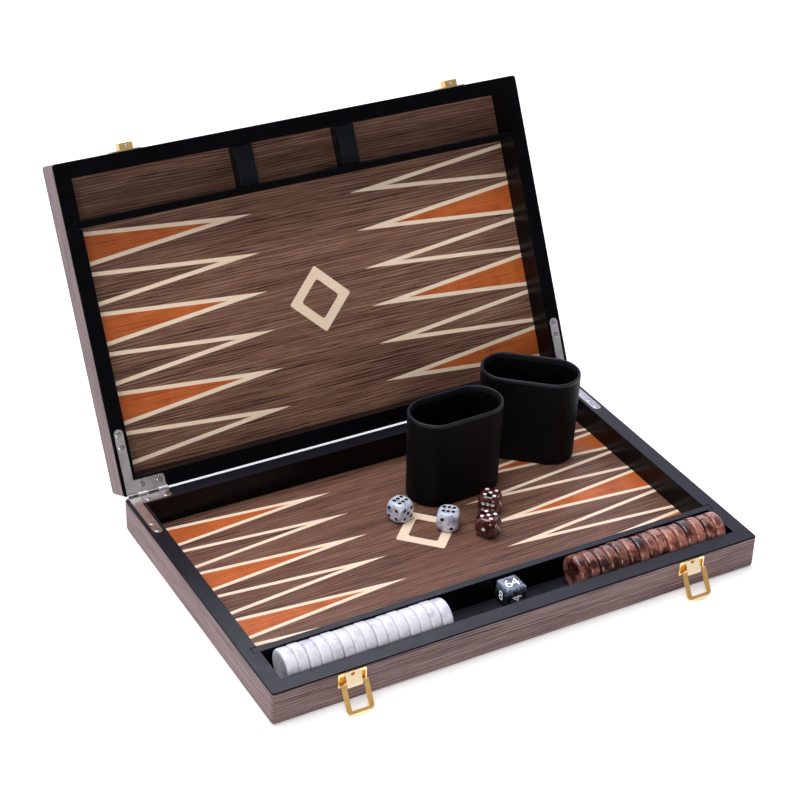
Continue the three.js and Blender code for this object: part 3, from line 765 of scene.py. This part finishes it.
HALVES = (("base", BASE), ("lid", LID))
for half_name, half_matrix in HALVES:
    add_inlays(half_name, half_matrix)

# ---------------------------------------------------------------- checkers, standing on edge
BOX_LOW, BOX_HIGH = box_mm("checker_pearl_01")
CHECKER_R = (BOX_HIGH[1] - BOX_LOW[1]) / 2
CHECKER_T = BOX_HIGH[0] - BOX_LOW[0]


def checker_mesh(t, edge):
    """Disc of thickness t with rounded edges and a shallow dish in each face."""
    r = CHECKER_R
    dish_r, lip_r, depth = r - 5.2, r - 4.6, .25
    profile = [(0, depth), (dish_r, depth), (lip_r, 0.0), (r - edge, 0)]
    profile += arc(r - edge, edge, edge, -90, 0, 8)[1:]
    profile += arc(r - edge, t - edge, edge, 0, 90, 8)
    profile += [(lip_r, t), (dish_r, t - depth), (0, t - depth)]
    return lathe(profile, 72, "X")


# kind, thickness, edge radius, material, slot
for kind, thick, edge_r, material, slot in (
        ("pearl", CHECKER_T, 2.0, PEARL, "pearl"),
        ("brown", CHECKER_T - .75, 2.1, BROWN, "brown_marble")):
    checker = checker_mesh(thick, edge_r)
    for i in range(1, 16):
        node = "checker_%s_%02d" % (kind, i)
        start = center_mm(node) - X * (thick / 2)
        matrix = (BASE @ Matrix.Translation(start)
                  @ Matrix.Rotation(rng.uniform(0, 6.28), 4, "X"))
        add_obj("disc_%s_%02d" % (kind, i), checker.copy(), [material], matrix,
                node, (node,), smooth=40)


# ---------------------------------------------------------------- dice
def rounded_cube(a, r, n=14, ball=None):
    """Cube of side a with corner radius r, on a grid that is denser at the edges.

    A ball radius cuts the corners off along a sphere."""
    h = a / 2
    verts, faces, index = [], [], {}
    edge = [-h + r * (1 - math.cos(math.pi / 2 * k / 6)) for k in range(7)]
    flat = [(-h + r) + (a - 2 * r) * k / n for k in range(1, n)]
    grid = sorted(set(round(q, 6) for q in edge + flat + [-q for q in reversed(edge)]))

    def vertex(p):
        key = tuple(round(q, 5) for q in p)
        if key not in index:
            q = Vector(p)
            core = Vector([max(-h + r, min(h - r, t)) for t in q])
            out = q - core
            if out.length > 1e-9:
                q = core + out.normalized() * r
            if ball and q.length > ball * .93:
                # a soft turn where the flat meets the ball
                over = q.length / ball
                q = q * ((1 - .07 * math.exp(-(over - .93) / .07)) / over)
            index[key] = len(verts)
            verts.append(tuple(q))
        return index[key]

    for axis in range(3):
        for sign in (-1, 1):
            for u0, u1 in zip(grid, grid[1:]):
                for v0, v1 in zip(grid, grid[1:]):
                    corners = []
                    for u, v in ((u0, v0), (u1, v0), (u1, v1), (u0, v1)):
                        p = [0, 0, 0]
                        p[axis] = sign * h
                        p[(axis + 1) % 3] = u
                        p[(axis + 2) % 3] = v
                        corners.append(vertex(p))
                    face = drop_repeats(corners if sign > 0 else corners[::-1])
                    if len(face) > 2:
                        faces.append(face)
    return mesh_from(verts, faces)


def sphere(r, segments=40, rings=20):
    angles = [math.pi * k / rings for k in range(1, rings)]
    profile = [(r * math.sin(a), -r * math.cos(a)) for a in angles]
    return lathe([(0, -r)] + profile + [(0, r)], segments)


# pip places on each face, in steps of PIP_SPREAD
PIP_LAYOUT = {
    1: [(0, 0)],
    2: [(-1, 1), (1, -1)],
    3: [(-1, 1), (0, 0), (1, -1)],
    4: [(-1, -1), (-1, 1), (1, -1), (1, 1)],
    5: [(-1, -1), (-1, 1), (1, -1), (1, 1), (0, 0)],
    6: [(-1, -1), (0, -1), (1, -1), (-1, 1), (0, 1), (1, 1)],
}
PIP_SPREAD = 4.5
SIX_SQUEEZE = .72       # the six's rows stand closer together
PIP_R = 1.85
PIP_DEPTH = .5
DIE_SIDE = box_mm("die_pearl_1")[1][2] - box_mm("die_pearl_1")[0][2]
PEARL_FINISH = (DIE_PEARL, PIP_BLACK, "pearl_grey")
BROWN_FINISH = (DIE_BROWN, PIP_WHITE, "dark_brown")
# node, yaw (degrees), three faces as (direction, number), finish
DICE = (
    ("die_pearl_1", 18.4, ((Z, 6), (-X, 4), (-Y, 5)), PEARL_FINISH),
    ("die_pearl_2", -39.0, ((Z, 6), (-Y, 2), (-X, 4)), PEARL_FINISH),
    ("die_brown_1", -45.0, ((Z, 5), (-Y, 6), (-X, 4)), BROWN_FINISH),
    ("die_brown_2", -57.0, ((Z, 5), (-Y, 1), (X, 3)), BROWN_FINISH),
)


def die_mesh(three_faces, body_material, pip_material):
    """Each pip is a shallow spherical dish; opposite faces add to seven."""
    body = rounded_cube(DIE_SIDE, 3.4, 26, ball=.66 * DIE_SIDE)
    body.materials.append(body_material)
    ball_r = (PIP_R * PIP_R + PIP_DEPTH * PIP_DEPTH) / (2 * PIP_DEPTH)
    ball = sphere(ball_r)
    items = []
    for first, number in three_faces:
        u, v = [axis for axis in (X, Y, Z) if abs(axis.dot(first)) < .5]
        for out, count in ((first, number), (-first, 7 - number)):
            squeeze = SIX_SQUEEZE if count == 6 else 1
            for x, y in PIP_LAYOUT[count]:
                place = (out * (DIE_SIDE / 2 - PIP_DEPTH + ball_r)
                         + u * x * PIP_SPREAD + v * y * PIP_SPREAD * squeeze)
                items.append((ball, Matrix.Translation(place)))
    cutter = join_meshes(items)
    cutter.materials.append(pip_material)
    return cut(body, cutter)


for node, yaw, three_faces, (body_material, pip_material, slot) in DICE:
    matrix = (BASE @ Matrix.Translation(center_mm(node))
              @ Matrix.Rotation(math.radians(yaw), 4, "Z"))
    add_obj(node.replace("die_", "dice_"), die_mesh(three_faces, body_material, pip_material),
            [], matrix, node, (node,), smooth=24)

# ---------------------------------------------------------------- doubling cube
# text, size, up, outward
NUMERALS = (
    ("64", 14.6, Y, Z), ("8", 13.4, Z, -X), ("4", 13.4, -X, -Y),
    ("2", 13.4, Z, X), ("16", 13.4, Z, Y), ("32", 13.4, -Y, -Z),
)


def numeral(text, size):
    """A slightly thinned, raised numeral, centred on its own outline."""
    curve = bpy.data.curves.new("numeral", "FONT")
    curve.body = text
    curve.size = size
    curve.align_x = "CENTER"
    curve.align_y = "CENTER"
    curve.extrude = .12
    curve.resolution_u = 6
    curve.offset = -.1
    curve.space_character = .96
    mesh = evaluated_mesh(link_new("numeral", curve))
    bm = bmesh.new()
    bm.from_mesh(mesh)
    bmesh.ops.remove_doubles(bm, verts=bm.verts, dist=1e-4)
    xs = [v.co.x for v in bm.verts]
    ys = [v.co.y for v in bm.verts]
    shift = (-(min(xs) + max(xs)) / 2, -(min(ys) + max(ys)) / 2, 0)
    bmesh.ops.translate(bm, vec=shift, verts=bm.verts)
    bm.to_mesh(mesh)
    bm.free()
    return mesh


def add_doubling_cube():
    node = "doubling_cube"
    low, high = box_mm(node)
    side = high[2] - low[2]
    matrix = BASE @ Matrix.Translation(center_mm(node))
    cube = rounded_cube(side, 2.1)
    cube.materials.append(CUBE_MARBLE)
    items = []
    for text, size, up, outward in NUMERALS:
        turn = Matrix((up.cross(outward), up, outward)).transposed().to_4x4()
        items.append((numeral(text, size), Matrix.Translation(outward * (side / 2)) @ turn))
    add_obj("cube_body", cube, [], matrix, node, (node,), smooth=24)
    add_obj("cube_numerals", join_meshes(items), [NUMERAL_WHITE], matrix, node,
            smooth=None)


add_doubling_cube()

# ---------------------------------------------------------------- dice cups
CUP_H = 90.0
CUP_STRAIGHT = 22.0     # half the length of the straight sides, at the rim
CUP_R = 26.0            # radius of the round ends, at the rim
CUP_TAPER = .97         # size of the foot against the rim
CUP_BULGE = .15         # inset of the wall at half height
# (inset, height), from the foot up the outside, over the rim and down the inside
CUP_OUTER = [(4.0, 0.35), (3.0, 0.0), (1.6, .05), (.7, .45), (.22, 1.2), (.05, 2.4), (0.0, 4.0)]
CUP_OUTER += [(CUP_BULGE * math.sin(math.pi * t) ** 2, 4 + 81 * t)
              for t in [k / 12 for k in range(1, 13)]]
CUP_RIM = [(.06, 86.0), (-.02, 86.8), (-.02, 87.7), (.08, 88.6), (.42, 89.45), (1.0, 89.92),
           (1.6, 89.98), (2.15, 89.7), (2.5, 89.1), (2.62, 88.3), (2.62, 86.2)]
CUP_INNER = [(2.7, 85.6), (3.2, 85.35), (3.45, 85.0), (3.5, 84.2), (3.5, 60.0), (3.5, 30),
             (3.5, 8.0), (3.8, 6.6), (4.6, 5.9), (6.0, 5.7)]


def stadium(straight, r, z):
    """Ring of two half circles joined by straight sides."""
    points = []
    for side in (1, -1):
        for i in range(29):
            a = -side * math.pi / 2 + math.pi * i / 28
            points.append((side * straight + r * math.cos(a), r * math.sin(a), z))
        for k in range(1, 8):
            points.append((side * (straight - 2 * straight * k / 8), side * r, z))
    return points


def cup_mesh():
    rings = []
    for inset, z in CUP_OUTER + CUP_RIM + CUP_INNER:
        k = CUP_TAPER + (1 - CUP_TAPER) * min(z / CUP_H, 1)
        rings.append(stadium(CUP_STRAIGHT * k, CUP_R * k - inset, z))
    n = len(rings[0])
    verts = [point for ring in rings for point in ring]
    faces, zones = [], []
    rim_start = len(CUP_OUTER) + 1
    rim_end = len(CUP_OUTER) + len(CUP_RIM) - 1
    for k in range(len(rings) - 1):
        for i in range(n):
            a, b = k * n + i, k * n + (i + 1) % n
            faces.append((a, b, b + n, a + n))
            # material slots: outside, rim (its lighter colour a painted highlight), lining
            zones.append(0 if k < rim_start else (1 if k < rim_end else 2))
    top = (len(rings) - 1) * n
    faces += [tuple(reversed(range(n))), tuple(range(top, top + n))]
    zones += [0, 2]
    mesh = mesh_from(verts, faces)
    mesh.polygons.foreach_set("material_index", zones)
    return mesh


# The rim's lighter blue-grey is a painted highlight along the rolled edge.
LEATHER_RIM_HIGHLIGHT = leather("leatherette_rim", "#1c1e25", rough=.4, spec=.3)
CUP = cup_mesh()
for node, yaw in (("cup_1", 1.9), ("cup_2", -40.8)):
    foot = center_mm(node)
    foot.z = box_mm(node)[0][2]
    matrix = BASE @ Matrix.Translation(foot) @ Matrix.Rotation(math.radians(yaw), 4, "Z")
    add_obj("dice_" + node, CUP.copy(), [LEATHER, LEATHER_RIM_HIGHLIGHT, LEATHER_LINING], matrix,
            node, (node,), smooth=50)


# ---------------------------------------------------------------- hinges and their screws
def box_mesh(x, y, z0, z1):
    """Box reaching x and y either side of the Z axis."""
    corners = ((-x, -y), (x, -y), (x, y), (-x, y))
    verts = [(cx, cy, z) for z in (z0, z1) for cx, cy in corners]
    faces = [(0, 3, 2, 1), (4, 5, 6, 7), (0, 1, 5, 4), (1, 2, 6, 5), (2, 3, 7, 6), (3, 0, 4, 7)]
    return mesh_from(verts, faces)


def screw_mesh(r, h, under=.5):
    """Domed screw head with a cross recess, which is painted near-black as shade; it reaches
    `under` below its seat.
    """
    mesh = lathe([(0, -under), (r * .93, -under), (r, -under + .1), (r, 0.02),
                  (r * .96, h * .35), (r * .8, h * .75), (r * .5, h * .96), (0, h)], 40)
    mesh.materials.append(SCREW)
    long, narrow = r * .62, r * .13
    for x, y in ((long, narrow), (narrow, long)):
        slot_cutter = box_mesh(x, y, -under * .5, h + 1)
        slot_cutter.materials.append(RECESS_PAINTED_SHADE)
        mesh = cut(mesh, slot_cutter)
    return mesh


HINGE_SCREW = screw_mesh(2.75, .28)
# (x, y) on the right; mirrored on the left
HINGE_SCREWS = [(232.3, 95.6), (232.3, 107.3), (220.6, 143.8), (203.2, 143.6)]
# seat height, way the screws face and leaf finish
HINGE_SEATS = {
    "base": (RIM_TOP, Matrix(), NICKEL),
    "lid": (mirror_z(RIM_TOP), Matrix.Rotation(math.pi, 4, "X"), NICKEL_BRUSHED),
}
for side, sign in (("left", -1), ("right", 1)):
    for half_name, half_matrix in HALVES:
        seat, facing, finish = HINGE_SEATS[half_name]
        carry("hinge_%s_%s_leaf" % (side, half_name), finish, bevel=.18)
        items = []
        for x, y in HINGE_SCREWS:
            spin = Matrix.Rotation(rng.uniform(0, 1.57), 4, "Z")
            items.append((HINGE_SCREW,
                          Matrix.Translation((sign * x, y, seat)) @ facing @ spin))
        add_obj("screws_hinge_%s_%s" % (side, half_name), join_meshes(items, keep_index=True),
                [SCREW, RECESS_PAINTED_SHADE], half_matrix, half_name, smooth=35)
    carry("hinge_%s_pin" % side, NICKEL, bevel=.1)

# ---------------------------------------------------------------- latches
RIVET_Y = -156.3
RIVET_RISE = 1.92       # above the seam, with the lid closed
# (radius, height)
RIVET_PROFILE = [(0, -.5), (1.55, -.5), (1.6, 0), (1.45, .35), (1.0, .7), (.5, .9), (0, .96)]
for side in ("left", "right"):
    catch = "latch_%s_catch" % side
    carry("latch_%s_plate" % side, GOLD_PLATE)
    carry(catch, GOLD_CATCH)
    carry("latch_%s_bail" % side, GOLD_BAIL, bevel=.15)
    # steel rivet in the catch's underside
    place = (center_mm(catch).x, RIVET_Y, AXIS.z + RIVET_RISE)
    add_obj("catch_rivet_" + side, lathe(RIVET_PROFILE, 28), [SCREW],
            LID @ Matrix.Translation(place) @ Matrix.Rotation(math.pi, 4, "X"),
            "lid", smooth=50)


# ---------------------------------------------------------------- floor
def add_floor():
    half, drop = 6, .0004       # metres
    mesh = mesh_from([(-half, -half, 0), (half, -half, 0), (half, half, 0), (-half, half, 0)],
                     [(0, 1, 2, 3)])
    s = Surface("floor_pale")
    clouds = s.noise(s.coords(), scale=3, detail=2, rough=.5)
    s.put("Base Color", s.mix(s.remap(clouds, (.3, .7), (0, 1)),
                              (.86, .86, .87), (.88, .88, .88)))
    s.put("Roughness", .9)
    s.put("Specular IOR Level", .1)
    s.put("Emission Color", (1, 1, 1, 1))
    s.put("Emission Strength", .42)
    add_obj("floor", mesh, [s.material], Matrix.Translation((0, 0, -drop)),
                     smooth=None)


add_floor()


# ---------------------------------------------------------------- world
def add_world():
    """Light that grows from dark in front to bright behind; plain white to the camera."""
    world = bpy.data.worlds.new("studio")
    bpy.context.scene.world = world
    world.use_nodes = True
    g = Graph(world.node_tree)
    light = g.nodes["Background"]
    depth = g.remap(g.split(g.coords("Generated"))[1], (-1, 1), (0, 1))
    g.feed(light.inputs[0], g.ramp(depth, [
        (.0, (.04, .04, .045)), (.38, (.06, .06, .07)), (.55, (.25, .25, .3)),
        (.72, (.95, .95, 1.15)), (1.0, (1, 1, 1.2))]))
    g.feed(light.inputs["Strength"], .8)
    plain = g.node("ShaderNodeBackground")
    g.feed(plain.inputs["Color"], (1, 1, 1, 1))
    g.feed(plain.inputs["Strength"], 1.0)
    both = g.node("ShaderNodeMixShader")
    g.feed(both.inputs[0], g.node("ShaderNodeLightPath").outputs["Is Camera Ray"])
    g.feed(both.inputs[1], light.outputs[0])
    g.feed(both.inputs[2], plain.outputs[0])
    g.feed(g.nodes["World Output"].inputs[0], both.outputs[0])


add_world()


# ---------------------------------------------------------------- lights
def area(name, loc, target, size, energy, color=(1, 1, 1)):
    light = bpy.data.lights.new(name, "AREA")
    light.shape = "RECTANGLE"
    light.size, light.size_y = size
    light.energy = energy
    light.color = color
    obj = link_new(name, light)
    obj.location = loc
    aim = Vector(target) - Vector(loc)
    obj.rotation_euler = aim.to_track_quat("-Z", "Y").to_euler()


area("key", loc=(-.9, .5, 4.0), target=(0, 0, .05), size=(3.4, 3.0), energy=150)
area("fill_left", loc=(-3.2, -.8, 1.8), target=(0, 0, .1), size=(2.2, 1.8), energy=3)
area("back", loc=(.6, 2.9, 2.3), target=(0, .5, 0), size=(2.4, 1.4), energy=26,
     color=(.86, .9, 1))
area("front_left", loc=(-1.7, -3.5, 1.3), target=(0, .1, .15), size=(1.6, 1.4), energy=40)
area("fill_right", loc=(3.0, -.2, 1.8), target=(0, 0, .1), size=(1.6, 2.0), energy=14)

# ---------------------------------------------------------------- camera and view
CAMERA_PLACE = (-.78193, -1.27415, 1.08294)
# the camera's right, up and backward directions
CAMERA_AXES = ((0.87432949, -0.48441296, 0.02986688),
               (0.23343305, 0.47368708, 0.84919347),
               (-0.42550788, -0.73550298, 0.52723658))
scene = bpy.context.scene
camera = bpy.data.cameras.new("cam")
camera_obj = link_new("cam", camera)
camera_obj.matrix_world = (Matrix.Translation(CAMERA_PLACE)
                           @ Matrix(CAMERA_AXES).transposed().to_4x4())
camera.sensor_width = 36
camera.sensor_fit = "HORIZONTAL"
camera.lens = 91.490895
camera.clip_start = .01
camera.clip_end = 50
scene.camera = camera_obj
scene.view_settings.view_transform = "Standard"
scene.view_settings.look = "None"
scene.view_settings.exposure = 0.0
scene.view_settings.gamma = 1.0
